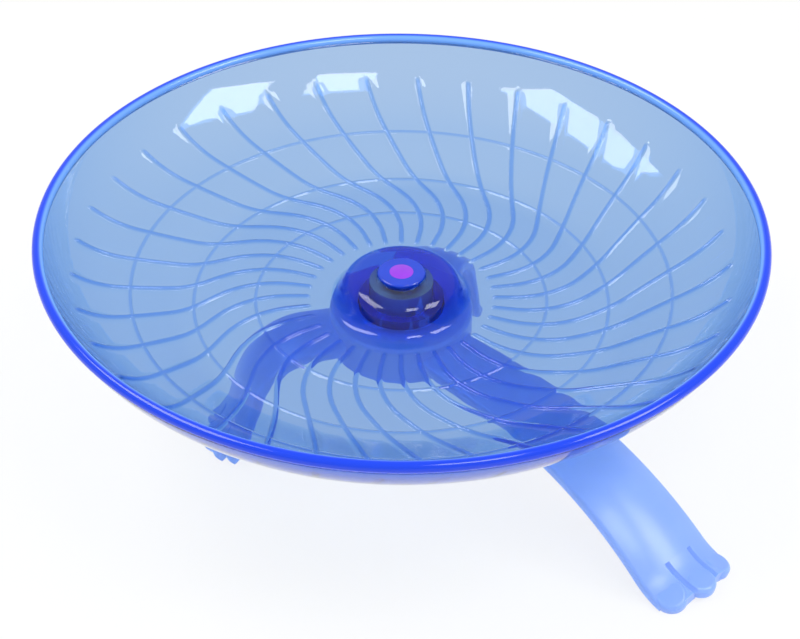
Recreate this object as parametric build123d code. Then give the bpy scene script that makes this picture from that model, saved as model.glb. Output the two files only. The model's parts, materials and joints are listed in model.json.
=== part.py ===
from build123d import *
import math
import os

# Flying saucer hamster wheel: a ribbed clear dish that spins, tilted, on a ball bearing
# above a stand with one long front leg and two short rear legs.
# All sizes are in millimetres. The dish's own frame has its origin at the centre of the
# running floor and +Z along the axle; the whole is then tilted and stood on its feet.

# Dish sizes
dish_diameter = 180.0
dish_depth = 24.0
dish_wall = 2.4
side_run = 40.5
floor_sweep_radius = 22.0
side_slope = 21.5
side_sweep_radius = 31.6
rim_bead = 2.8

# Boss in the middle of the dish
boss_height = 7.3
boss_top_radius = 13.2
boss_side_run = 4.0
boss_top_round = 4.5
boss_foot_round = 3.0

# Ribs and rings moulded on the running face
rib_count = 36
rib_width = 1.2
rib_height = 0.7
rib_start_radius = 23.2
rib_end_gap = 8.3
rib_straight = 4.8
rib_bend_run = 23.8
rib_bend_angle = 10.9
rib_twist = 27.0
first_rib_angle = 6.2
ring_count = 3
ring_pitch = 15.5
ring_end_gap = 22.4
ring_width = 0.9
ring_height = 0.45
grip_root = 0.5

# Ball bearing
bearing_diameter = 16.0
bearing_bore = 5.0
bearing_width = 5.0
race_wall = 1.65
ball_diameter = 3.0
ball_count = 8
ball_clearance = 0.05
cage_wall = 1.3
cage_base = 0.35
cage_rise = 0.8
shield_thickness = 0.25
shield_recess = 0.1
shield_grip = 0.25
shield_gap = 0.2

# Hub cap, button and the ring that holds the bearing in the dish
cap_flange_radius = 6.0
cap_flange_height = 0.8
cap_flange_round = 0.5
cap_skirt_radius = 5.15
cap_skirt_wall = 0.85
cap_skirt_length = 1.9
cap_hole_radius = 3.0
button_flange_radius = 4.0
button_flange_height = 0.5
button_dome = 0.3
retainer_radius = 10.2
retainer_hole_radius = 6.9

# Axle and what clamps the bearing on it
axle_head_width = 8.0
axle_head_height = 3.0
axle_screw_radius = 1.5
axle_screw_length = 8.0
axle_screw_head_radius = 2.8
axle_screw_head_height = 1.0
axle_screw_head_bevel = 0.3
washer_radius = 3.8
washer_thickness = 0.5
spacer_radius = 3.9

# Stand hub and its cover
hub_gap = 1.2
hub_radius = 18.0
hub_wall = 2.0
hub_plate = 3.0
hub_edge_round = 1.2
hub_height = 10.0
tower_radius = 6.6
cover_thickness = 1.4
cover_pillar_radius = 2.6
pillar_circle_radius = 12.4

# Legs
tilt = 4.6
hub_above_ground = 38.2
leg_root_width = 18.0
front_foot_width = 23.0
rear_foot_width = 20.0
leg_section_spacing = 8.0
leg_thickness = 3.4
leg_crown_radius = 23.0
leg_edge_round = 1.2
leg_step = 1.1
front_straight = 22.0
front_bend_radius = 90.0
front_bend_limit = 80.0
rear_straight = 5.5
rear_bend_radius = 18.0
rear_bend_angle = 72.0
foot_bend_radius = 14.0
foot_bend_angle = 28.0
toe_count = 3
toe_round = 1.2
toe_depth = 0.5
middle_toe_reach = 1.8
toe_groove_width = 1.2
sole_cut = 0.5
tongue_length = 11.5
tongue_width = 13.0
tongue_thickness = 3.0
tongue_gap = 0.1

# Small screws under the stand
screw_radius = 1.3
screw_head_radius = 2.4
screw_head_height = 1.6
screw_head_bevel = 0.56
cover_screw_length = 6.0
leg_screw_roof = 0.9
thread_gap = 0.05

# Cross recess of a screw, as shares of its head's radius
cross_length = 1.2
cross_width = 0.22
cross_depth = 0.4

# Fits
slide_gap = 0.05
press_gap = 0.02
washer_play = 0.05
race_gap = 0.02

# Worked out from the sizes above
dish_radius = dish_diameter / 2
floor_radius = dish_radius - side_run
slope = math.radians(side_slope)
lip_radius = dish_radius - rim_bead / 2
lip_height = dish_depth - rim_bead / 2
mid_wall = dish_wall / 2
lip_run = lip_radius - floor_radius - (floor_sweep_radius + mid_wall) * math.sin(slope)
lip_rise = lip_height + mid_wall - (floor_sweep_radius + mid_wall) * (1 - math.cos(slope))
side_turn = math.acos(
    1 + (lip_run * math.sin(slope) - lip_rise * math.cos(slope)) / (side_sweep_radius + mid_wall)
)
rim_slope = slope + side_turn
side_sweep_run = (side_sweep_radius + mid_wall) * (math.sin(rim_slope) - math.sin(slope))
side_flat = (lip_run - side_sweep_run) / math.cos(slope)
side_centre = (
    floor_radius + (floor_sweep_radius - side_sweep_radius) * math.sin(slope) + side_flat * math.cos(slope),
    floor_sweep_radius + (side_sweep_radius - floor_sweep_radius) * math.cos(slope)
    + side_flat * math.sin(slope),
)
rib_end_radius = dish_radius - rib_end_gap
ring_radii = [dish_radius - ring_end_gap - ring_pitch * i for i in range(ring_count)]

bearing_radius = bearing_diameter / 2
axle_radius = bearing_bore / 2
bearing_bottom = 0.0
bearing_top = bearing_bottom + bearing_width
bearing_middle = bearing_bottom + bearing_width / 2
inner_race_radius = axle_radius + race_wall
outer_race_radius = bearing_radius - race_wall
ball_circle_radius = (inner_race_radius + outer_race_radius) / 2
ball_radius = ball_diameter / 2
pocket_relief = washer_thickness + slide_gap + washer_play
cap_hole = cap_skirt_radius + slide_gap

hub_top = -dish_wall - hub_gap
plate_bottom = hub_top - hub_plate
hub_bottom = hub_top - hub_height
cover_top = hub_bottom + cover_thickness
axle_head_bottom = cover_top + slide_gap
tongue_top = plate_bottom - tongue_gap
tongue_bottom = tongue_top - tongue_thickness
leg_root = tongue_top + leg_step - leg_thickness / 2
leg_screw_top = hub_top - leg_screw_roof
leg_angles = {"front": -90.0, "right": 30.0, "left": 150.0}
tilt_turn = Location((0, 0, hub_above_ground), (tilt, 0, 0))


def polar(radius, angle):
    """Point at a radius and an angle in degrees about the axle."""
    return (radius * math.cos(math.radians(angle)), radius * math.sin(math.radians(angle)))


def turned(points):
    """Solid of revolution about the axle from corner points (radius, height)."""
    outline = Polyline(*points, close=True)
    return revolve(Plane.XZ * make_face(outline), Axis.Z)


def ring(inner, outer, low, high):
    """Plain ring about the axle; a disc where the inner radius is zero."""
    return turned([(inner, low), (outer, low), (outer, high), (inner, high)])


# Bowl section

def arc_about(centre, radius, start, end):
    """Arc in the section plane; angles are measured from straight down, outwards."""
    def at(angle):
        return (centre[0] + radius * math.sin(angle), centre[1] - radius * math.cos(angle))
    return ThreePointArc(at(start), at((start + end) / 2), at(end))


def bowl_strip(upper, lower, start_radius):
    """Turned layer of the bowl between two depths under the running face."""
    edges = []
    ends = []
    for depth in (upper, lower):
        sweep_in = arc_about(
            (floor_radius, floor_sweep_radius), floor_sweep_radius + depth, 0, slope)
        sweep_out = arc_about(side_centre, side_sweep_radius + depth, slope, rim_slope)
        start = (start_radius, -depth)
        edges += [Line(start, sweep_in @ 0), sweep_in, Line(sweep_in @ 1, sweep_out @ 0), sweep_out]
        ends.append((start, sweep_out @ 1))
    edges += [Line(ends[0][0], ends[1][0]), Line(ends[0][1], ends[1][1])]
    return revolve(Plane.XZ * make_face(edges), Axis.Z)


# Dish

def make_boss():
    """Bell in the middle of the dish, before the bearing's seat is cut."""
    base = boss_top_radius + boss_side_run
    skirt = base + boss_foot_round
    profile = FilletPolyline(
        (0, boss_height),
        (boss_top_radius, boss_height),
        (base, 0),
        (skirt, 0),
        radius=(boss_top_round, boss_foot_round),
    )
    closing = Polyline(profile @ 1, (skirt, -dish_wall), (0, -dish_wall), profile @ 0)
    return revolve(Plane.XZ * make_face([profile, closing]), Axis.Z)


def make_rib():
    """One swept rib: radial at its foot, bending, then running out up the side."""
    bend_start = (rib_start_radius + rib_straight, 0)
    bend_end = polar(rib_start_radius + rib_bend_run, rib_bend_angle)
    foot = Line((rib_start_radius + rib_width / 2, 0), bend_start)
    first = TangentArc(bend_start, bend_end, tangent=(1, 0))
    second = TangentArc(bend_end, polar(rib_end_radius - rib_width / 2, rib_twist), tangent=first % 1)
    outline = make_face(offset(Wire([foot, first, second]), amount=rib_width / 2, side=Side.BOTH))
    return extrude(outline, amount=dish_depth + grip_root).moved(Location((0, 0, -grip_root)))


def make_dish():
    shell = bowl_strip(0, dish_wall, rib_start_radius)
    floor = ring(0, rib_start_radius, -dish_wall, 0)
    bead_centre = side_centre[0] + (side_sweep_radius + mid_wall) * math.sin(rim_slope)
    bead_height = side_centre[1] - (side_sweep_radius + mid_wall) * math.cos(rim_slope)
    bead = revolve(Plane.XZ * Pos(bead_centre, bead_height) * Circle(rim_bead / 2), Axis.Z)
    rib_layer = bowl_strip(-rib_height, grip_root, rib_start_radius - rib_width)
    rib = make_rib() & rib_layer
    ring_layer = bowl_strip(-ring_height, grip_root, rib_start_radius)
    rings = [
        ring(radius - ring_width / 2, radius + ring_width / 2, -grip_root, dish_depth) & ring_layer
        for radius in ring_radii
    ]
    ribs = [Rot(0, 0, first_rib_angle + 360 * i / rib_count) * rib for i in range(rib_count)]
    body = shell + floor + make_boss() + bead
    body = body + rings + ribs
    seat = [
        ring(0, cap_hole, bearing_top, boss_height),
        ring(0, outer_race_radius - slide_gap, bearing_top, bearing_top + pocket_relief),
        ring(0, bearing_radius + press_gap, -dish_wall, bearing_top),
        ring(0, retainer_radius + press_gap, -dish_wall, bearing_bottom),
    ]
    return body - seat


def make_hub_cap():
    top = boss_height + cap_flange_height
    skirt_inner = cap_skirt_radius - cap_skirt_wall
    profile = FilletPolyline(
        (cap_hole_radius, top),
        (cap_flange_radius, top),
        (cap_flange_radius, boss_height),
        radius=cap_flange_round,
    )
    rest = Polyline(
        profile @ 1,
        (cap_skirt_radius, boss_height),
        (cap_skirt_radius, boss_height - cap_skirt_length),
        (skirt_inner, boss_height - cap_skirt_length),
        (skirt_inner, boss_height),
        (cap_hole_radius, boss_height),
        profile @ 0,
    )
    return revolve(Plane.XZ * make_face([profile, rest]), Axis.Z)


def make_cap_button():
    top = boss_height + cap_flange_height
    radius = cap_hole_radius - press_gap
    dome_radius = (radius ** 2 + button_dome ** 2) / (2 * button_dome)
    half_turn = math.asin(radius / dome_radius) / 2
    halfway = (dome_radius * math.sin(half_turn), top + button_dome - dome_radius * (1 - math.cos(half_turn)))
    dome = ThreePointArc((radius, top), halfway, (0, top + button_dome))
    rest = Polyline(
        dome @ 1,
        (0, boss_height - button_flange_height),
        (button_flange_radius, boss_height - button_flange_height),
        (button_flange_radius, boss_height),
        (radius, boss_height),
        dome @ 0,
    )
    return revolve(Plane.XZ * make_face([dome, rest]), Axis.Z)


def make_bearing_retainer():
    return ring(retainer_hole_radius, retainer_radius, -dish_wall, bearing_bottom)


# Bearing

def ball_track():
    """Ring-shaped space swept by the balls with their running clearance."""
    track = Pos(ball_circle_radius, bearing_middle) * Circle(ball_radius + ball_clearance)
    return revolve(Plane.XZ * track, Axis.Z)


def shield_seats():
    """Two shallow recesses in the outer race, one for each shield."""
    outer = outer_race_radius + shield_grip
    depth = shield_recess + shield_thickness
    return [
        ring(0, outer, bearing_top - depth, bearing_top),
        ring(0, outer, bearing_bottom, bearing_bottom + depth),
    ]


def make_outer_race():
    body = ring(outer_race_radius, bearing_radius, bearing_bottom, bearing_top)
    return body - ball_track() - shield_seats()


def make_inner_race():
    bore = axle_radius + race_gap
    return ring(bore, inner_race_radius, bearing_bottom, bearing_top) - ball_track()


def ball_places():
    return [
        Location((*polar(ball_circle_radius, 360 * i / ball_count), bearing_middle))
        for i in range(ball_count)
    ]


def make_balls():
    return Compound(children=[Solid.make_sphere(ball_radius).moved(place) for place in ball_places()])


def make_cage():
    low = bearing_middle - ball_radius - ball_clearance - cage_base
    high = bearing_middle + cage_rise
    body = ring(ball_circle_radius - cage_wall / 2, ball_circle_radius + cage_wall / 2, low, high)
    return body - [place * Sphere(ball_radius + ball_clearance) for place in ball_places()]


def make_shield(low):
    return ring(
        inner_race_radius + shield_gap, outer_race_radius + shield_grip, low, low + shield_thickness)


# Axle

def make_axle_pin():
    shank = ring(0, axle_radius, axle_head_bottom, bearing_top)
    head = extrude(
        RegularPolygon(axle_head_width / 2, 6, major_radius=False), axle_head_height
    ).moved(Location((0, 0, axle_head_bottom)))
    thread = ring(0, axle_screw_radius, bearing_top - axle_screw_length, bearing_top)
    return shank + head - thread


def make_axle_spacer():
    return ring(axle_radius + race_gap, spacer_radius, hub_top, bearing_bottom)


def make_screw_washer():
    return ring(axle_screw_radius + slide_gap, washer_radius, bearing_top, bearing_top + washer_thickness)


def cross_slot(radius, top):
    """Cross recess in a screw head."""
    slot = Box(radius * cross_length, radius * cross_width, radius * cross_depth)
    return (slot + Rot(0, 0, 90) * slot).moved(Location((0, 0, top)))


def make_axle_screw():
    under_head = bearing_top + washer_thickness
    top = under_head + axle_screw_head_height
    shank = ring(0, axle_screw_radius - thread_gap, bearing_top - axle_screw_length, under_head)
    head = ring(0, axle_screw_head_radius, under_head, top)
    head = chamfer(head.edges().group_by(Axis.Z)[-1], axle_screw_head_bevel)
    return shank + head - cross_slot(axle_screw_head_radius, top)


# Stand

def pillar_angles():
    return [angle + 60 for angle in leg_angles.values()]


def make_stand_hub():
    body = turned([
        (0, hub_top),
        (hub_radius, hub_top),
        (hub_radius, hub_bottom),
        (hub_radius - hub_wall, hub_bottom),
        (hub_radius - hub_wall, plate_bottom),
        (tower_radius, plate_bottom),
        (tower_radius, cover_top),
        (0, cover_top),
    ])
    body = fillet(body.edges().filter_by(GeomType.CIRCLE).group_by(Axis.Z)[-1], hub_edge_round)
    for angle in pillar_angles():
        place = Location((*polar(pillar_circle_radius, angle), 0))
        body += place * ring(0, cover_pillar_radius, cover_top, plate_bottom)
        body -= place * ring(0, screw_radius + thread_gap, cover_top, cover_top + cover_screw_length)
    for angle in leg_angles.values():
        slot_width = tongue_width + 2 * tongue_gap
        slot = Pos(hub_radius, 0, (tongue_top + tongue_bottom) / 2) * Box(
            4 * hub_wall, slot_width, tongue_thickness + 2 * tongue_gap)
        body -= Rot(0, 0, angle) * slot
        hole = ring(0, screw_radius + thread_gap, plate_bottom, leg_screw_top)
        body -= Location((*polar(pillar_circle_radius, angle), 0)) * hole
    body -= ring(0, axle_radius + press_gap, cover_top, hub_top)
    head_space = extrude(
        RegularPolygon(axle_head_width / 2 + slide_gap, 6, major_radius=False),
        axle_head_bottom + axle_head_height - cover_top,
    )
    return body - head_space.moved(Location((0, 0, cover_top)))


def make_stand_cover():
    body = ring(0, hub_radius - hub_wall - slide_gap, hub_bottom, cover_top)
    for angle in pillar_angles():
        place = Location((*polar(pillar_circle_radius, angle), 0))
        body -= place * ring(0, screw_radius + slide_gap, hub_bottom, cover_top)
    return body


def plain_screw(under_head, tip):
    """Pan-head screw driven upwards, with its head below."""
    low = under_head - screw_head_height
    head = ring(0, screw_head_radius, low, under_head)
    head = chamfer(head.edges().group_by(Axis.Z)[0], screw_head_bevel)
    return head + ring(0, screw_radius, under_head, tip) - cross_slot(screw_head_radius, low)


def make_cover_screws():
    screw = plain_screw(hub_bottom, cover_top + cover_screw_length - thread_gap)
    return Compound(children=[
        screw.solid().moved(Location((*polar(pillar_circle_radius, angle), 0))) for angle in pillar_angles()
    ])


def make_leg_screws():
    screw = plain_screw(tongue_bottom, leg_screw_top - thread_gap)
    return Compound(children=[
        screw.solid().moved(Location((*polar(pillar_circle_radius, angle), 0)))
        for angle in leg_angles.values()
    ])


# Legs

def ground_height(radius, height, angle):
    """Height above the ground of a point of a leg, once the stand is tilted."""
    along = radius * math.sin(math.radians(angle))
    return hub_above_ground + along * math.sin(math.radians(tilt)) + height * math.cos(math.radians(tilt))


def leg_route(angle, straight, bend_radius, bend_angle, toe_radius):
    """Middle line of a leg in the plane X-Z, from inside the hub's wall to its toes.

    The leg leaves the hub level with the dish, bends down through bend_angle at most, may run
    on straight, and then bends back through the foot so that the soles reach the ground.
    """
    bend_start = (hub_radius + straight, leg_root)
    foot_turn = math.radians(foot_bend_angle)

    def bend_point(turn):
        return (
            bend_start[0] + bend_radius * math.sin(turn),
            bend_start[1] - bend_radius * (1 - math.cos(turn)),
        )

    def foot_point(start, turn, share):
        """Point of the foot's bend, which starts at a point where the leg slopes by a turn."""
        slope_here = turn - foot_turn * share
        return (
            start[0] + foot_bend_radius * (math.sin(turn) - math.sin(slope_here)),
            start[1] - foot_bend_radius * (math.cos(slope_here) - math.cos(turn)),
        )

    def clearance(turn):
        """Height of the outer toes' ends above the depth to which the soles are cut."""
        radius, height = foot_point(bend_point(turn), turn, 1)
        sole_slope = turn - foot_turn
        sole_depth = leg_thickness / 2 + crown_drop((toe_count - 1) * toe_radius)
        radius += toe_radius * math.cos(sole_slope)
        height -= toe_radius * math.sin(sole_slope) + sole_depth * math.cos(sole_slope)
        return ground_height(radius, height, angle) + sole_cut

    low = 0
    high = math.radians(bend_angle)
    if clearance(high) > 0:
        low = high
    for _ in range(40):
        middle = (low + high) / 2
        if clearance(middle) > 0:
            low = middle
        else:
            high = middle
    turn = high
    end = bend_point(turn)
    edges = [
        Line((hub_radius - hub_wall, leg_root), bend_start),
        ThreePointArc(bend_start, bend_point(turn / 2), end),
    ]
    run = clearance(turn) / math.sin(turn)
    if run > leg_thickness:
        run_end = (end[0] + run * math.cos(turn), end[1] - run * math.sin(turn))
        edges.append(Line(end, run_end))
        end = run_end
    edges.append(ThreePointArc(end, foot_point(end, turn, 0.5), foot_point(end, turn, 1)))
    return edges


def crown_drop(across):
    """How far the leg's crowned top has fallen at a distance from its middle."""
    return leg_crown_radius - math.sqrt(leg_crown_radius ** 2 - across ** 2)


def leg_section(width):
    """Arched plate across the leg: crowned on top, hollow beneath."""
    half = width / 2
    drop = crown_drop(half)
    top = ThreePointArc(
        (-half, leg_thickness / 2 - drop), (0, leg_thickness / 2), (half, leg_thickness / 2 - drop))
    bottom = ThreePointArc(
        (half, -leg_thickness / 2 - drop), (0, -leg_thickness / 2), (-half, -leg_thickness / 2 - drop))
    plate = make_face([top, Line(top @ 1, bottom @ 0), bottom, Line(bottom @ 1, top @ 0)])
    return fillet(plate.vertices(), leg_edge_round)


def section_plane(route, share):
    """Plane across a route, with its own X level and its own Y up."""
    return Plane(origin=route @ share, x_dir=(0, 1, 0), z_dir=route % share)


def make_toe_groove(route, across, toe_radius):
    """Crease on the foot's top between two toes, along its bend and out past its end."""
    bend = route.edges()[-1]
    tail = Wire([bend, Line(bend @ 1, (bend @ 1) + (bend % 1) * toe_radius)])
    height = leg_thickness / 2 - crown_drop(across)
    wedge = section_plane(tail, 0) * Pos(across, height) * Rot(0, 0, 45) * Rectangle(
        toe_groove_width, toe_groove_width)
    return sweep(wedge, path=tail)


def make_leg_bar(route, foot_width):
    """The leg without its toes: sections that widen evenly, lofted run by run."""
    bar = []
    done = 0
    for edge in route.edges():
        straight_run = edge.geom_type == GeomType.LINE
        steps = 1 if straight_run else max(3, math.ceil(edge.length / leg_section_spacing))
        sections = []
        for step in range(steps + 1):
            share = step / steps
            along = (done + share * edge.length) / route.length
            width = leg_root_width + (foot_width - leg_root_width) * along
            sections.append((section_plane(edge, share) * leg_section(width)).face())
        bar.append(loft(sections, ruled=straight_run))
        done += edge.length
    return bar[0] + bar[1:]


def make_leg(angle, straight, bend_radius, bend_angle, foot_width):
    """One leg lying along X, then turned to its own angle about the axle."""
    toe_radius = foot_width / toe_count / 2
    route = Plane.XZ * Wire(leg_route(angle, straight, bend_radius, bend_angle, toe_radius))
    body = make_leg_bar(route, foot_width)
    end = section_plane(route, 1)
    outer_across = (toe_count - 1) * toe_radius
    body += extrude(end * leg_section(2 * outer_across), toe_radius - toe_depth)
    toe = fillet(Cylinder(toe_radius, leg_thickness).edges().filter_by(GeomType.CIRCLE), toe_round)
    for i in range(toe_count):
        across = (i - (toe_count - 1) / 2) * 2 * toe_radius
        reach = middle_toe_reach * (1 - (across / outer_across) ** 2)
        lean = math.degrees(math.asin(across / leg_crown_radius))
        body += end * Pos(across, -crown_drop(across), reach) * Rot(0, 0, -lean) * Rot(90, 0, 0) * toe
    for i in range(1, toe_count):
        body -= make_toe_groove(route, (i - toe_count / 2) * 2 * toe_radius, toe_radius)
    body -= ring(0, hub_radius + slide_gap, 4 * leg_root, 0)
    tongue_end = hub_radius + hub_wall
    tongue = Pos(tongue_end - tongue_length / 2, 0, (tongue_top + tongue_bottom) / 2) * Box(
        tongue_length, tongue_width, tongue_thickness)
    hole = Pos(pillar_circle_radius, 0, 0) * ring(
        0, screw_radius + slide_gap, tongue_bottom, tongue_top)
    return Rot(0, 0, angle) * (body + tongue - hole)


def stand_on_ground(shape):
    """Tilt a shape about the hub and cut it flat where it meets the ground."""
    placed = tilt_turn * shape
    size = 4 * dish_diameter
    return placed - Pos(0, 0, -size / 2) * Box(size, size, size)


pieces = {
    "dish": make_dish(),
    "hub_cap": make_hub_cap(),
    "cap_button": make_cap_button(),
    "bearing_retainer": make_bearing_retainer(),
    "bearing_outer_race": make_outer_race(),
    "bearing_inner_race": make_inner_race(),
    "bearing_balls": make_balls(),
    "bearing_cage": make_cage(),
    "bearing_shield_upper": make_shield(bearing_top - shield_recess - shield_thickness),
    "bearing_shield_lower": make_shield(bearing_bottom + shield_recess),
    "axle_pin": make_axle_pin(),
    "axle_spacer": make_axle_spacer(),
    "screw_washer": make_screw_washer(),
    "axle_screw": make_axle_screw(),
    "stand_hub": make_stand_hub(),
    "stand_cover": make_stand_cover(),
    "cover_screws": make_cover_screws(),
    "leg_screws": make_leg_screws(),
}
placed = {name: tilt_turn * shape for name, shape in pieces.items()}
for side, angle in leg_angles.items():
    if side == "front":
        leg = make_leg(angle, front_straight, front_bend_radius, front_bend_limit, front_foot_width)
    else:
        leg = make_leg(angle, rear_straight, rear_bend_radius, rear_bend_angle, rear_foot_width)
    placed["leg_" + side] = stand_on_ground(leg)

# The origin is under the middle of the whole, on the ground
boxes = [shape.bounding_box() for shape in placed.values()]
middle_y = (min(box.min.Y for box in boxes) + max(box.max.Y for box in boxes)) / 2
os.makedirs("parts", exist_ok=True)
for name, shape in placed.items():
    export_step(Pos(0, -middle_y, 0) * shape, f"parts/{name}.step")
print("hub centre", 0, round(-middle_y, 3), hub_above_ground)
print("axle direction", 0, round(-math.sin(math.radians(tilt)), 5), round(math.cos(math.radians(tilt)), 5))
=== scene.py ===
# %% [markdown]
# Flying saucer hamster wheel.
# A clear blue dish with swept ribs spins on a ball bearing above a cloudy blue stand.
# The construction arrives finished, as solids in a fixed frame. This lesson dresses it: the
# dish is rebuilt as one smooth moulding, every other piece gets its own finish, and the whole
# is lit and seen as in a plain product picture.

# %% Load the frame
import json
import math

import bpy
import numpy as np
from mathutils import Matrix, Vector


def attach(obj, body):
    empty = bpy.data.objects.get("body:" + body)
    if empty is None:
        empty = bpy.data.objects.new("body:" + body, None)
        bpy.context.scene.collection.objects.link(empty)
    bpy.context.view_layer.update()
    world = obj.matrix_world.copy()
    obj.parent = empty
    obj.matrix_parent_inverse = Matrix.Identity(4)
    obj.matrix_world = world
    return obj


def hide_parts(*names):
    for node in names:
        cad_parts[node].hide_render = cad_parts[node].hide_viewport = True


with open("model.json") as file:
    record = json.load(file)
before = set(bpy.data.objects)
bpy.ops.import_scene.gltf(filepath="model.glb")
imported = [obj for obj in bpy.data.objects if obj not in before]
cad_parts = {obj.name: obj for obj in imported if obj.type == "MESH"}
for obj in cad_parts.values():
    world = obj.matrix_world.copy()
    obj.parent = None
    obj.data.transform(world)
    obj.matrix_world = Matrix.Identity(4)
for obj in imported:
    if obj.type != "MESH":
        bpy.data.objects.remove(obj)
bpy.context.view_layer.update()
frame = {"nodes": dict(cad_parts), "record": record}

# %% [markdown]
# The dish turns about a tilted axle. All its sizes are simplest in its own frame, with the
# running floor's centre at the origin and the axle along +Z, so one matrix carries that frame
# to where the dish stands. The hinge gives the two facts it needs.

# %% The dish's own frame
MM = 0.001
spin = next(j for j in frame["record"]["behaviour"]["joints"] if j["name"] == "dish_spin")
hub = Vector(spin["pos_m"])
axle = Vector(spin["axis"]).normalized()
across = Vector((1, 0, 0))
dish_turn = Matrix((across, axle.cross(across), axle)).transposed().to_4x4()
dish_frame = Matrix.Translation(hub) @ dish_turn
print("axle leans", round(math.degrees(math.acos(axle.z)), 2), "degrees")

# %% [markdown]
# The camera stands where the photograph was taken from. It looks down at the dish at a steady
# angle, with the long leg pointing to the lower right. The view's angles were measured on the
# rim's ellipse and on the ribs, so they are written against the dish and not the ground.

# %% Camera
image_width = 800
focal_pixels = 2132
camera_distance = 537 * MM
look_down = math.radians(38.17)
camera_roll = math.radians(-0.51)
leg_bearing = math.radians(-46.0)
aim_right = 0.31 * MM
aim_up = 5.59 * MM

leg_way = -axle.cross(across)
view_x = math.cos(leg_bearing) * leg_way - math.sin(leg_bearing) * across
view_y = math.sin(leg_bearing) * leg_way + math.cos(leg_bearing) * across
away = -math.cos(look_down) * view_y + math.sin(look_down) * axle
level_up = math.sin(look_down) * view_y + math.cos(look_down) * axle
camera_right = math.cos(camera_roll) * view_x - math.sin(camera_roll) * level_up
camera_up = math.sin(camera_roll) * view_x + math.cos(camera_roll) * level_up
camera_place = hub + camera_distance * away - aim_right * camera_right - aim_up * camera_up

camera_data = bpy.data.cameras.new("camera")
camera_data.sensor_width = 36
camera_data.lens = focal_pixels * camera_data.sensor_width / image_width
camera_data.clip_start = 0.01
camera = bpy.data.objects.new("camera", camera_data)
bpy.context.scene.collection.objects.link(camera)
camera_turn = Matrix((camera_right, camera_up, away)).transposed().to_4x4()
camera.matrix_world = Matrix.Translation(camera_place) @ camera_turn
bpy.context.scene.camera = camera
print("camera at", [round(v, 3) for v in camera_place])

# %% [markdown]
# Shader maths reads best as plain expressions. A small class wraps a socket, so that
# mask * 0.5 + 0.2 adds its own Math nodes, and one method makes any other node from its type,
# its settings and its inputs. Noise and bumps are sized in metres, as the pieces are.

# %% Sockets that add up
class Wire:
    """One output socket of a shader tree, with arithmetic."""

    def __init__(self, tree, socket):
        self.tree = tree
        self.socket = socket

    def math(self, operation, *others, swap=False):
        node = self.tree.nodes.new("ShaderNodeMath")
        node.operation = operation
        operands = [*others, self] if swap else [self, *others]
        for place, value in zip(node.inputs, operands):
            connect(self.tree, place, value)
        return Wire(self.tree, node.outputs[0])

    def __add__(self, other):
        return self.math("ADD", other)

    def __radd__(self, other):
        return self.math("ADD", other, swap=True)

    def __mul__(self, other):
        return self.math("MULTIPLY", other)

    def __rmul__(self, other):
        return self.math("MULTIPLY", other, swap=True)


def connect(tree, place, value):
    """Link a wire to a socket, or write a plain value on it."""
    if isinstance(value, Wire):
        tree.links.new(value.socket, place)
    else:
        place.default_value = value


class Finish:
    """A material under construction."""

    def __init__(self, name):
        self.material = bpy.data.materials.new(name)
        self.material.use_nodes = True
        self.tree = self.material.node_tree
        self.shader = self.tree.nodes["Principled BSDF"]
        self.output = self.tree.nodes["Material Output"]

    def node(self, kind, settings=None, output=0, **inputs):
        """Any node: settings first, then the values or wires of its sockets."""
        node = self.tree.nodes.new(kind)
        for name, value in (settings or {}).items():
            setattr(node, name, value)
        for name, value in inputs.items():
            connect(self.tree, node.inputs[name.replace("_", " ")], value)
        return Wire(self.tree, node.outputs[output])

    def place(self):
        """Where on the piece a point is."""
        return self.node("ShaderNodeTexCoord", output="Object")

    def mark(self, name):
        """Number that the mesh keeps on its points under a name."""
        return self.node("ShaderNodeAttribute", {"attribute_name": name}, output="Fac")

    def blend(self, share, first, second):
        """Colour between two others."""
        node = self.tree.nodes.new("ShaderNodeMix")
        node.data_type = "RGBA"
        places = (node.inputs[0], node.inputs[6], node.inputs[7])
        for place, value in zip(places, (share, first, second)):
            connect(self.tree, place, value)
        return Wire(self.tree, node.outputs[2])

    def grain(self, size, detail=2.0):
        """Soft random pattern with features about as large as the size."""
        return self.node("ShaderNodeTexNoise", Vector=self.place(), Scale=1 / size, Detail=detail)

    def bump(self, height, distance, strength):
        """Unevenness that only bends the light, as high as the distance."""
        return self.node("ShaderNodeBump", Height=height, Distance=distance, Strength=strength)

    def set(self, **inputs):
        """Values or wires for the sockets of the main shader."""
        for name, value in inputs.items():
            connect(self.tree, self.shader.inputs[name.replace("_", " ")], value)


print("shader helpers ready")

# %% [markdown]
# Clear blue plastic. The dish is polished and see-through: its colour comes from the depth of
# plastic that the light crosses, pale where the wall is seen face on and deep blue where it is
# seen edge on, as at the rim. An absorbing volume inside a clear skin does just that. The skin
# bends light very little, so that no light stays trapped in the thin wall, and a clear coat
# gives back the gloss of solid plastic. The ribs and rings are painted darker and bluer through
# an attribute of the mesh, a painted shade for the dark lines that their steep sides show, and
# the mould's faint waviness is a very low bump.

# %% Clear blue plastic
depth_colour = (0.08, 0.54, 0.96, 1)
depth_density = 340
mould_wave = 26 * MM
mould_wave_height = 0.25 * MM


def clear_blue():
    finish = Finish("clear_blue_plastic")
    finish.set(
        # Painted shade: the ribs and rings get a darker, bluer colour than the wall around them.
        Base_Color=finish.blend(finish.mark("rib"), (0.84, 0.82, 0.845, 1), (0.34, 0.52, 0.88, 1)),
        Roughness=0.03 + 0.04 * finish.grain(9 * MM),
        IOR=1.08,
        Transmission_Weight=1.0,
        Coat_Weight=1.0,
        Coat_IOR=1.5,
        Coat_Roughness=0.04,
        Normal=finish.bump(finish.grain(mould_wave), mould_wave_height, 0.3),
    )
    depth = finish.node("ShaderNodeVolumeAbsorption", Color=depth_colour, Density=depth_density)
    connect(finish.tree, finish.output.inputs["Volume"], depth)
    return finish.material


clear_plastic = clear_blue()
print("made", clear_plastic.name)
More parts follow.
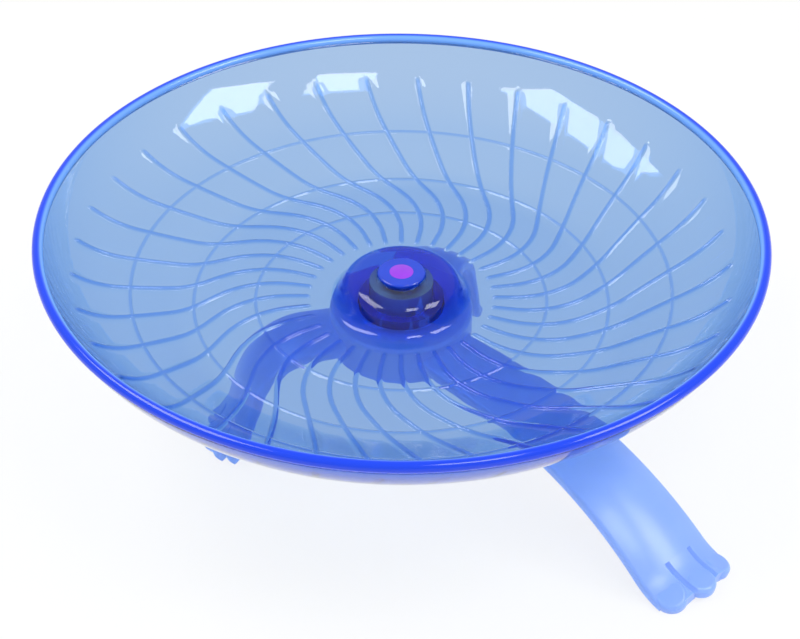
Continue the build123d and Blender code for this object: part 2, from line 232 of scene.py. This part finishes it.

# %% [markdown]
# The rim's edge works as a light guide: light that entered the wall leaves it here. That glow is
# painted: the bead has a deep, even blue colour with a faint emission on top. Towards the bowl
# it is painted paler, a painted light for the windows that light it through the skin. The same
# attribute that marks ribs marks that inner side.

# %% Painted glow on the rim's edge
def painted_glow_edge():
    finish = Finish("deep_blue_painted_glow")
    painted_lit_side = finish.mark("rib")
    finish.set(
        # Painted light: the side that faces the bowl is painted paler, as if lit by the windows.
        Base_Color=finish.blend(painted_lit_side, (0.0, 0.035, 0.58, 1), (0.16, 0.36, 0.86, 1)),
        Roughness=0.12 + 0.06 * finish.grain(7 * MM),
        IOR=1.3,
        Coat_Weight=0.6,
        Coat_Roughness=0.04,
        # Painted glow: an emission that stands in for the light the edge guides out of the wall.
        Emission_Color=finish.blend(painted_lit_side, (0.0, 0.015, 0.20, 1), (0.01, 0.05, 0.12, 1)),
        Emission_Strength=1.0,
        Normal=finish.bump(finish.grain(mould_wave), mould_wave_height, 0.3),
    )
    return finish.material


painted_glow_plastic = painted_glow_edge()
print("made", painted_glow_plastic.name)

# %% [markdown]
# The stand is moulded in a cloudier plastic of the same family. Light enters it and comes out
# again, so it has no hard shadows: a little subsurface scatter with a soft sheen on top, and
# a faint painted glow, an emission that stands in for the light that the whole leg carries and
# brightens the stand where the dish shades it.

# %% Cloudy blue plastic
def cloudy_blue():
    finish = Finish("cloudy_blue_plastic")
    cloud_and_painted_glow = finish.grain(18 * MM)
    finish.set(
        Base_Color=finish.blend(cloud_and_painted_glow, (0.18, 0.30, 0.66, 1), (0.24, 0.37, 0.72, 1)),
        Roughness=0.30 + 0.08 * finish.grain(5 * MM),
        IOR=1.49,
        Subsurface_Weight=0.35,
        Subsurface_Radius=(0.3, 0.5, 1.0),
        Subsurface_Scale=3 * MM,
        Coat_Weight=0.25,
        Coat_Roughness=0.18,
        # Painted light: a faint emission keeps the stand bright in the dish's shade; the same noise
        # varies its tone.
        Emission_Color=finish.blend(cloud_and_painted_glow, (0.04, 0.08, 0.24, 1), (0.06, 0.11, 0.28, 1)),
        Emission_Strength=1.0,
        Normal=finish.bump(finish.grain(1.1 * MM, 4), 0.012 * MM, 0.5),
    )
    return finish.material


stand_plastic = cloudy_blue()
print("made", stand_plastic.name)

# %% [markdown]
# The hub cap and its button are solid colours, glossy as they leave the mould, with the small
# unevenness in shine that handling gives. The bearing's cage and the spacer are nylon, which
# is duller.

# %% Solid coloured plastics
def solid_plastic(name, dark, light, shine):
    finish = Finish(name)
    finish.set(
        Base_Color=finish.blend(finish.grain(4 * MM), dark, light),
        Roughness=shine + 0.07 * finish.grain(1.5 * MM),
        IOR=1.5,
        Coat_Weight=0.5,
        Coat_Roughness=0.06,
        Normal=finish.bump(finish.grain(0.7 * MM, 3), 0.006 * MM, 0.4),
    )
    return finish.material


cap_plastic = solid_plastic("deep_blue_plastic", (0.0, 0.03, 0.48, 1), (0.0, 0.05, 0.62, 1), 0.12)
button_plastic = solid_plastic("magenta_plastic", (0.22, 0.02, 0.60, 1), (0.32, 0.035, 0.74, 1), 0.14)
nylon = solid_plastic("natural_nylon", (0.72, 0.70, 0.62, 1), (0.82, 0.80, 0.73, 1), 0.38)
print("made", cap_plastic.name, button_plastic.name, nylon.name)

# %% [markdown]
# Steel comes in two finishes here: the bearing's is ground smooth, and the axle and screws are
# zinc plated, with a cloudier colour and a finer grain.

# %% Steels
def steel(name, dark, light, shine, grain_size):
    finish = Finish(name)
    grain = finish.grain(grain_size, 5)
    finish.set(
        Base_Color=finish.blend(grain, dark, light),
        Metallic=1.0,
        Roughness=shine + 0.12 * grain,
        Normal=finish.bump(grain, 0.004 * MM, 0.5),
    )
    return finish.material


ground_steel = steel("bearing_steel", (0.66, 0.67, 0.70, 1), (0.80, 0.81, 0.83, 1), 0.30, 2 * MM)
plated_steel = steel("zinc_plated_steel", (0.60, 0.62, 0.66, 1), (0.76, 0.77, 0.79, 1), 0.30, 0.8 * MM)
print("made", ground_steel.name, plated_steel.name)

# %% [markdown]
# Each piece of the construction names the kind of material that it is made of, so one table
# from those names to the finishes dresses them all.

# %% Dress the construction
materials = {
    "clear_blue_plastic": clear_plastic,
    "frosted_blue_plastic": stand_plastic,
    "dark_blue_plastic": cap_plastic,
    "magenta_plastic": button_plastic,
    "cage_nylon": nylon,
    "bearing_steel": ground_steel,
    "plated_steel": plated_steel,
}
for item in frame["record"]["subparts"]:
    data = frame["nodes"][item["node"]].data
    data.materials.clear()
    data.materials.append(materials[item["material_slot"]])

# %% [markdown]
# The dish is a turned bowl with 36 swept ribs and three rings on its running face. Everything
# about it follows a rule, so one sector is made from its section and one rib, and a node tree
# repeats it round the axle. The columns of the sector follow the rib's sweep, closely spaced
# across the rib and wide apart beside it, which keeps the rib crisp with few faces.

# %% Sizes of the dish, in millimetres
dish_radius = 90.0
dish_depth = 24.0
wall = 2.4
floor_radius = 49.5
floor_sweep = 22.0
side_slope = math.radians(21.5)
side_sweep = 31.6
bead_radius = 1.4
boss_height = 7.3
boss_top_radius = 13.2
boss_base_radius = 17.2
boss_top_round = 4.5
boss_foot_round = 3.0
cap_hole = 5.2
bearing_seat = 8.02
retainer_seat = 10.22
bearing_top = 5.0
relief_radius = 6.3
relief_top = 5.6
rib_count = 36
rib_start = 23.2
rib_end = 81.7
rib_height = 0.7
first_rib = math.radians(6.2)
rib_straight = 4.8
rib_bend_back_radius = rib_start + 23.8
rib_bend_back_turn = math.radians(10.9)
rib_end_turn = math.radians(27.0)
ring_radii = (36.6, 52.1, 67.6)
ring_width = 0.9
ring_height = 0.45
print("dish", 2 * dish_radius, "mm across and", dish_depth, "mm deep")

# %% [markdown]
# The section is one closed loop: out over the boss and the floor, up the side to the lip, and
# back underneath to the bearing's seat. Rounds are arcs of a few steps. Where a ring or a
# rib's end crosses the section, extra steps are set at fixed distances from it, so that its
# edge stays crisp, and steps that would fall too close to their neighbour are dropped.

# %% The section
longest_face_step = 2.6
longest_under_step = 3.0
shortest_step = 0.12
ring_cuts = (-0.8, -0.5, -0.3, 0, 0.3, 0.5, 0.8)
rib_start_cuts = (-0.6, -0.3, 0.1, 0.6)
rib_end_cuts = (-0.9, -0.4, 0, 0.5)


def arc(centre, radius, start, end, steps):
    """Points on an arc; angles run from straight down towards +radius."""
    return [
        (centre[0] + radius * math.sin(a), centre[1] - radius * math.cos(a))
        for a in np.linspace(start, end, steps)
    ]


def corner(before, point, after, radius, steps):
    """Points of the round that replaces a corner."""
    p, q, s = (np.array(v, float) for v in (before, point, after))
    u = (p - q) / np.linalg.norm(p - q)
    v = (s - q) / np.linalg.norm(s - q)
    half = math.acos(float(np.clip(u @ v, -1, 1))) / 2
    middle = q + (u + v) / np.linalg.norm(u + v) * radius / math.sin(half)
    first = q + u * radius / math.tan(half) - middle
    last = q + v * radius / math.tan(half) - middle
    a0 = math.atan2(first[1], first[0])
    sweep = (math.atan2(last[1], last[0]) - a0 + math.pi) % (2 * math.pi) - math.pi
    angles = np.linspace(a0, a0 + sweep, steps)
    return [tuple(middle + radius * np.array((math.cos(a), math.sin(a)))) for a in angles]


def bowl_side(depth, steps):
    """Points of the bowl's side, from the floor's edge to the lip, at a depth under its face."""
    mid = wall / 2
    run = dish_radius - bead_radius - floor_radius - (floor_sweep + mid) * math.sin(side_slope)
    rise = dish_depth - bead_radius + mid - (floor_sweep + mid) * (1 - math.cos(side_slope))
    reach = (run * math.sin(side_slope) - rise * math.cos(side_slope)) / (side_sweep + mid)
    rim_slope = side_slope + math.acos(1 + reach)
    swept = (side_sweep + mid) * (math.sin(rim_slope) - math.sin(side_slope))
    flat = (run - swept) / math.cos(side_slope)
    centre = (
        floor_radius + (floor_sweep - side_sweep) * math.sin(side_slope) + flat * math.cos(side_slope),
        floor_sweep + (side_sweep - floor_sweep) * math.cos(side_slope) + flat * math.sin(side_slope),
    )
    low = arc((floor_radius, floor_sweep), floor_sweep + depth, 0, side_slope, steps // 3)
    high = arc(centre, side_sweep + depth, side_slope, rim_slope, steps - steps // 3)
    return low + high, centre, rim_slope


def refine(points, longest):
    """Split long runs of a polyline so that no step is longer than the limit."""
    fine = [points[0]]
    for a, b in zip(points, points[1:]):
        parts = max(1, math.ceil(math.dist(a, b) / longest))
        run = np.array(b) - np.array(a)
        fine += [tuple(np.array(a) + run * k / parts) for k in range(1, parts + 1)]
    return fine


def run_face():
    """The running face from the cap's hole to the lip, with extra steps at rings and rib ends."""
    boss_edge = (boss_top_radius, boss_height)
    boss_foot = (boss_base_radius, 0)
    boss = [(cap_hole, relief_top), (cap_hole, boss_height)]
    boss += corner((0, boss_height), boss_edge, boss_foot, boss_top_round, steps=7)
    boss += corner(boss_edge, boss_foot, (floor_radius, 0), boss_foot_round, steps=6)
    side, centre, rim_slope = bowl_side(0, steps=30)
    ribs_begin = [(rib_start - 1, 0), (rib_start + 1, 0)]
    points = refine(boss + ribs_begin + side, longest_face_step)
    start = next(i for i, p in enumerate(points) if p[0] > boss_base_radius + boss_foot_round)
    radii = [p[0] for p in points[start:]]
    heights = [p[1] for p in points[start:]]
    extra = [r + cut * ring_width for r in ring_radii for cut in ring_cuts]
    extra += [rib_start + cut for cut in rib_start_cuts]
    extra += [rib_end + cut for cut in rib_end_cuts]
    points += [(r, float(np.interp(r, radii, heights))) for r in extra]
    tail = sorted(points[start:])
    kept = [tail[0]]
    for p in tail[1:]:
        if math.dist(p, kept[-1]) > shortest_step:
            kept.append(p)
    return points[:start] + kept, centre, rim_slope


face, side_centre, rim_slope = run_face()
bead_centre = (
    side_centre[0] + (side_sweep + wall / 2) * math.sin(rim_slope),
    side_centre[1] - (side_sweep + wall / 2) * math.cos(rim_slope),
)
under = bowl_side(wall, steps=24)[0][::-1]
seat = [
    (retainer_seat, -wall),
    (retainer_seat, 0),
    (bearing_seat, 0),
    (bearing_seat, bearing_top),
    (relief_radius, bearing_top),
    (relief_radius, relief_top),
]
face_steps = len(face)
section = face + refine(under + [seat[0]], longest_under_step) + seat[1:]
print("section points", len(section))

# %% [markdown]
# The rib runs straight out for a little, bends, then bends back as it climbs the side: two
# arcs that meet smoothly in plan. Reading that path as an angle for each radius gives the
# sweep of every column.

# %% The rib's sweep
def swung(arrow, angle):
    """Arrow in plan turned by an angle."""
    c, s = math.cos(angle), math.sin(angle)
    return np.array((c * arrow[0] - s * arrow[1], s * arrow[0] + c * arrow[1]))


def tangent_arc(start, way, end, steps):
    """Arc that leaves a point in a direction and ends at another, and its last direction."""
    start, way, end = (np.array(v, float) for v in (start, way, end))
    normal = np.array((-way[1], way[0]))
    chord = end - start
    radius = (chord @ chord) / (2 * (chord @ normal))
    middle = start + normal * radius
    swing = 2 * math.atan2(float(chord @ normal), float(chord @ way))
    points = [middle + swung(start - middle, swing * t) for t in np.linspace(0, 1, steps)]
    return points, swung(way, swing)


def polar(radius, angle):
    """Point in plan at a radius and an angle."""
    return (radius * math.cos(angle), radius * math.sin(angle))


def sweep_at(radius):
    """Angle that a rib has turned through on its way to a radius."""
    return float(np.interp(radius, path_radius, path_angle))


bend_from = polar(rib_start + rib_straight, 0)
bend_back = polar(rib_bend_back_radius, rib_bend_back_turn)
bend_end = polar(rib_end, rib_end_turn)
first_part, way = tangent_arc(bend_from, (1, 0), bend_back, steps=24)
second_part, way = tangent_arc(bend_back, way, bend_end, steps=24)
path = np.array([(rib_start, 0.0), *first_part, *second_part[1:]])
path_radius = np.hypot(path[:, 0], path[:, 1])
path_angle = np.arctan2(path[:, 1], path[:, 0])
print("rib turns", round(math.degrees(path_angle[-1]), 1), "degrees on its way out")

# %% [markdown]
# Now the sector. Each row is a point of the section, each column a distance across the rib.
# The rib's own columns are given as that distance in millimetres and a share of its height.
# A row's points are lifted off the face by the rib's rounded profile, faded out at the rib's
# ends, or by a ring where one crosses. The first and last columns are exactly one rib's pitch
# apart, so copies meet edge to edge.

# %% One sector of the dish
rib_columns = ((0.0, 1.0), (0.28, 0.95), (0.5, 0.62), (0.66, 0.12), (0.85, 0.0))
gap_columns = 3
widest_rib_share = 0.7
half_pitch = math.pi / rib_count
rib_start_fade = (rib_start - 0.5, rib_start + 0.4)
rib_end_fade = (rib_end - 0.7, rib_end + 0.3)
ring_edge = (0.28 * ring_width, 0.55 * ring_width)


def step_up(value, low, high):
    """Smooth step from 0 at the low end to 1 at the high end."""
    t = min(max((value - low) / (high - low), 0.0), 1.0)
    return t * t * (3 - 2 * t)


def lift(radius, share):
    """How far the running face stands out at a radius, for a share of the rib's height."""
    rib = rib_height * share * step_up(radius, *rib_start_fade)
    rib *= 1 - step_up(radius, *rib_end_fade)
    nearest = min(abs(radius - r) for r in ring_radii)
    band = ring_height * (1 - step_up(nearest, *ring_edge))
    return max(rib, band)


def sector_row(index):
    """Points across one row of the sector, and how much of a rib each one is."""
    radius, height = section[index]
    before = section[index - 1]
    after = section[(index + 1) % len(section)]
    along = np.array(after) - np.array(before)
    along /= np.linalg.norm(along)
    normal = (-along[1], along[0])
    sweep = sweep_at(radius)
    lean = sweep_at(radius + 0.5) - sweep_at(radius - 0.5)
    stretch = math.hypot(1, radius * lean)
    widest = widest_rib_share * radius * half_pitch
    shrink = min(1.0, widest / (rib_columns[-1][0] * stretch))
    near = [(w * stretch * shrink / radius, share) for w, share in rib_columns]
    edge = near[-1][0]
    far = [(edge + (half_pitch - edge) * k / gap_columns, 0.0) for k in range(1, gap_columns + 1)]
    side = near[1:] + far
    columns = [(-a, share) for a, share in side[::-1]] + [near[0]] + side
    row = []
    ribbed = index < face_steps and radius > rib_start - 1
    for offset, share in columns:
        out = lift(radius, share) if ribbed else 0
        angle = first_rib + sweep + offset
        r = radius + normal[0] * out
        point = (r * math.cos(angle), r * math.sin(angle), height + normal[1] * out)
        row.append((point, out / rib_height))
    return row


def grid_faces(rows, columns):
    """Quads of a grid whose last row joins its first."""
    faces = []
    for i in range(rows):
        for j in range(columns - 1):
            a = i * columns + j
            b = (i + 1) % rows * columns + j
            faces.append((a, b, b + 1, a + 1))
    return faces


def sector_mesh(name, rows):
    """Mesh of one sector, in metres, with the rib attribute on its points."""
    mesh = bpy.data.meshes.new(name)
    points = [Vector(p) * MM for row in rows for p, _ in row]
    mesh.from_pydata(points, [], grid_faces(len(rows), len(rows[0])))
    # The rib attribute sets painted colour: painted shade on ribs and rings, painted light on the
    # bead's inner side.
    rib = mesh.attributes.new("rib", "FLOAT", "POINT")
    rib.data.foreach_set("value", [float(share) for row in rows for _, share in row])
    return mesh


sector = sector_mesh("dish_sector", [sector_row(i) for i in range(len(section))])
print("sector", len(sector.vertices), "points")

# %% [markdown]
# The tree places one point per sector, instances the sector there turned by its share of a
# full circle, joins the copies where their edges meet, shades them smooth and sets the
# material.

# %% Node tree that repeats a sector round the axle
def repeat_tree():
    tree = bpy.data.node_groups.new("repeat_round_axle", "GeometryNodeTree")
    sockets = tree.interface
    sockets.new_socket("Geometry", in_out="INPUT", socket_type="NodeSocketGeometry")
    sockets.new_socket("Count", in_out="INPUT", socket_type="NodeSocketInt")
    sockets.new_socket("Join distance", in_out="INPUT", socket_type="NodeSocketFloat")
    sockets.new_socket("Material", in_out="INPUT", socket_type="NodeSocketMaterial")
    sockets.new_socket("Geometry", in_out="OUTPUT", socket_type="NodeSocketGeometry")
    add = tree.nodes.new
    source = add("NodeGroupInput")
    result = add("NodeGroupOutput")
    points = add("GeometryNodeMeshLine")
    points.mode = "OFFSET"
    points.inputs["Offset"].default_value = (0, 0, 0)
    index = add("GeometryNodeInputIndex")
    share = add("ShaderNodeMath")
    share.operation = "DIVIDE"
    angle = add("ShaderNodeMath")
    angle.operation = "MULTIPLY"
    angle.inputs[1].default_value = 2 * math.pi
    rotation = add("ShaderNodeCombineXYZ")
    place = add("GeometryNodeInstanceOnPoints")
    realize = add("GeometryNodeRealizeInstances")
    merge = add("GeometryNodeMergeByDistance")
    dress = add("GeometryNodeSetMaterial")
    smooth = add("GeometryNodeSetShadeSmooth")
    link = tree.links.new
    link(source.outputs["Count"], points.inputs["Count"])
    link(index.outputs[0], share.inputs[0])
    link(source.outputs["Count"], share.inputs[1])
    link(share.outputs[0], angle.inputs[0])
    link(angle.outputs[0], rotation.inputs["Z"])
    link(points.outputs[0], place.inputs["Points"])
    link(source.outputs["Geometry"], place.inputs["Instance"])
    link(rotation.outputs[0], place.inputs["Rotation"])
    link(place.outputs[0], realize.inputs[0])
    link(realize.outputs[0], merge.inputs["Geometry"])
    link(source.outputs["Join distance"], merge.inputs["Distance"])
    link(merge.outputs[0], smooth.inputs["Geometry"])
    link(smooth.outputs[0], dress.inputs["Geometry"])
    link(source.outputs["Material"], dress.inputs["Material"])
    link(dress.outputs[0], result.inputs[0])
    return tree


def grow(name, mesh, tree, values):
    """Run a node tree on a mesh and keep the plain result as a new piece."""
    seed = bpy.data.objects.new(name + "_seed", mesh)
    bpy.context.scene.collection.objects.link(seed)
    modifier = seed.modifiers.new("nodes", "NODES")
    modifier.node_group = tree
    for item in tree.interface.items_tree:
        if item.in_out == "INPUT" and item.name in values:
            modifier[item.identifier] = values[item.name]
    bpy.context.view_layer.update()
    graph = bpy.context.evaluated_depsgraph_get()
    made = bpy.data.meshes.new_from_object(seed.evaluated_get(graph), depsgraph=graph)
    bpy.data.objects.remove(seed)
    piece = bpy.data.objects.new(name, made)
    bpy.context.scene.collection.objects.link(piece)
    return piece


around = repeat_tree()
print("tree", around.name, "with", len(around.nodes), "nodes")

# %% [markdown]
# The tree turns the sector into the whole dish, and the dish's matrix carries it to its place.
# It rides with the dish's body and takes the place of the construction's dish.

# %% The whole dish
join_distance = 0.004 * MM
dish_look = grow("dish_shell", sector, around, {
    "Count": rib_count,
    "Join distance": join_distance,
    "Material": clear_plastic,
})
dish_look.data.transform(dish_frame)
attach(dish_look, "dish")
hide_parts("dish")
print("dish faces", len(dish_look.data.polygons))

# %% [markdown]
# The rim ends in a round bead, which shows as the deepest blue of the dish. It is made as a
# ring of its own, which hides the lip, by the same tree from one sector of a ring.

# %% The rim's bead
bead_steps = 24
bead_columns = 7


def bead_row(turn):
    """Points across one row of the bead's sector, and how far they face the bowl, which sets how much
    painted light their colour gets.
    """
    radius = bead_centre[0] + bead_radius * math.sin(turn)
    height = bead_centre[1] - bead_radius * math.cos(turn)
    angles = np.linspace(-half_pitch, half_pitch, bead_columns)
    # The share that faces the bowl is painted paler, as if lit through the skin.
    painted_lit_side = step_up(-math.sin(turn), 0.1, 0.7)
    return [((radius * math.cos(a), radius * math.sin(a), height), painted_lit_side) for a in angles]


bead_rows = [bead_row(-2 * math.pi * k / bead_steps) for k in range(bead_steps)]
bead_sector = sector_mesh("bead_sector", bead_rows)
bead_look = grow("rim_bead", bead_sector, around, {
    "Count": rib_count,
    "Join distance": join_distance,
    "Material": painted_glow_plastic,
})
bead_look.data.transform(dish_frame)
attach(bead_look, "dish")
print("bead faces", len(bead_look.data.polygons))

# %% [markdown]
# The set is a plain white floor that runs out of sight. To the camera, and to rays that
# reflect off or pass through the wheel, it is mostly white light, with a small share of an
# ordinary pale surface that takes the wheel's shadow. To everything else it is that surface.

# %% Floor and world
floor_size = 6.0
plain_share = 0.82
room_light = 0.6


def white_floor():
    finish = Finish("white_floor")
    finish.set(Base_Color=(0.9, 0.9, 0.9, 1), Roughness=0.9)
    camera_ray = finish.node("ShaderNodeLightPath", output="Is Camera Ray")
    glossy_ray = finish.node("ShaderNodeLightPath", output="Is Glossy Ray")
    through_ray = finish.node("ShaderNodeLightPath", output="Is Transmission Ray")
    seen = (camera_ray + glossy_ray + through_ray).math("MINIMUM", 1.0)
    glow = finish.node("ShaderNodeEmission", Strength=1.0)
    mix = finish.tree.nodes.new("ShaderNodeMixShader")
    pale = Wire(finish.tree, finish.shader.outputs[0])
    for place, value in zip(mix.inputs, (seen * plain_share, pale, glow)):
        connect(finish.tree, place, value)
    connect(finish.tree, finish.output.inputs["Surface"], Wire(finish.tree, mix.outputs[0]))
    return finish.material


floor_mesh = bpy.data.meshes.new("floor")
half = floor_size / 2
corners = [(-half, -half, 0), (half, -half, 0), (half, half, 0), (-half, half, 0)]
floor_mesh.from_pydata(corners, [], [(0, 1, 2, 3)])
floor = bpy.data.objects.new("floor", floor_mesh)
floor.data.materials.append(white_floor())
bpy.context.scene.collection.objects.link(floor)

world = bpy.data.worlds.new("studio")
world.use_nodes = True
background = world.node_tree.nodes["Background"]
background.inputs["Color"].default_value = (1, 1, 1, 1)
background.inputs["Strength"].default_value = room_light
bpy.context.scene.world = world
print("floor", floor_size, "m wide, room light", room_light)

# %% [markdown]
# Three windows light the room, and their reflections show on the dish's far wall. A glossy
# wall is a mirror, so each reflection in the photograph says in which direction its window
# lies. The directions of a window's four corners, as bearing and height in degrees, are
# enough to size, place and turn one rectangular lamp. Its power is its brightness times pi
# and its area, so a large window and a small one of the same brightness look alike.

# %% Window lamps
window_distance = 0.75


def direction(bearing, height):
    """Unit vector in the room; bearings run anticlockwise from the picture's right."""
    bearing = math.radians(bearing)
    height = math.radians(height)
    level = math.cos(bearing) * view_x + math.sin(bearing) * view_y
    return math.cos(height) * level + math.sin(height) * axle


def window_lamp(name, corners, brightness):
    """Rectangular lamp that reaches about as far as the four corners, seen from the dish."""
    a, b, c, d = (hub + window_distance * direction(*corner_way) for corner_way in corners)
    middle = (a + b + c + d) / 4
    facing = (middle - hub).normalized()
    side = (b - a + c - d) / 2
    side -= side.dot(facing) * facing
    rise = facing.cross(side.normalized())
    height = abs(((d - a + c - b) / 2).dot(rise))
    data = bpy.data.lights.new(name, "AREA")
    data.shape = "RECTANGLE"
    data.size = side.length
    data.size_y = height
    data.energy = brightness * math.pi * side.length * height
    lamp = bpy.data.objects.new(name, data)
    bpy.context.scene.collection.objects.link(lamp)
    turned = Matrix((side.normalized(), rise, facing)).transposed().to_4x4()
    lamp.matrix_world = Matrix.Translation(middle) @ turned
    print(name, round(side.length, 2), "by", round(height, 2), "m")


window_lamp("window_right", ((5, 42), (-17, 31), (-40, 43), (-8, 60)), 7.0)
window_lamp("window_front", ((-39, 62), (-55, 49), (-79, 55), (-67, 73)), 7.0)
window_lamp("window_left", ((-134, 66), (-142, 46), (147, 35), (147, 52)), 6.0)

# %% [markdown]
# The picture is left in plain display colours.

# %% Finish
bpy.context.scene.view_settings.view_transform = "Standard"
